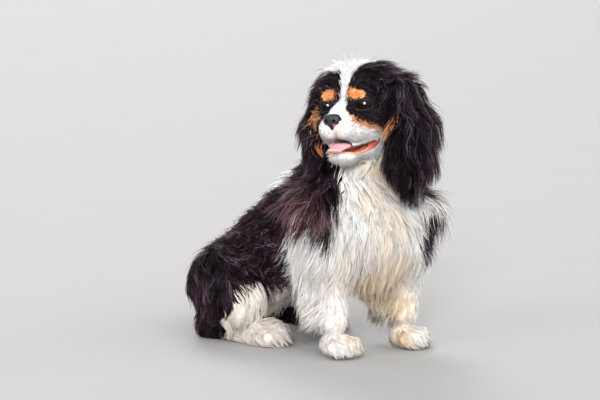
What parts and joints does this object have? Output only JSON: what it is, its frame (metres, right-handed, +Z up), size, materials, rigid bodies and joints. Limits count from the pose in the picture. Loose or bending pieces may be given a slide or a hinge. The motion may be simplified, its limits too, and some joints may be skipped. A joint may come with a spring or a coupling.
{
  "type": "cavalier king charles spaniel",
  "caption": "Life-size still model of a seated tricolour spaniel, head turned to its right, mouth open, with long feathered ears and coat.",
  "frame": {"origin": "on the floor, under the middle of the bounding box", "axes": "+Z up, the dog's chest faces -Y, its left side is +X"},
  "size_m": [0.2982, 0.4224, 0.4133],
  "materials": {
    "coat_black": "long silky black hair with a brown tinge at the tips",
    "coat_white": "long silky white to cream hair",
    "eye": "glossy dark brown",
    "nose_leather": "damp, finely pebbled black",
    "tongue": "moist pink"
  },
  "bodies": {
    "root": {"eye_left": "eye", "eye_right": "eye", "nose": "nose_leather", "torso": "coat_black", "ear_left": "coat_black", "ear_right": "coat_black", "neck": "coat_white", "head": "coat_black", "jaw": "coat_white", "tongue": "tongue", "foreleg_right": "coat_white", "forepaw_right": "coat_white", "thigh_right": "coat_black", "hindfoot_right": "coat_white", "foreleg_left": "coat_white", "forepaw_left": "coat_white", "thigh_left": "coat_black", "hindfoot_left": "coat_white", "tail": "coat_black"}
  },
  "joints": []
}
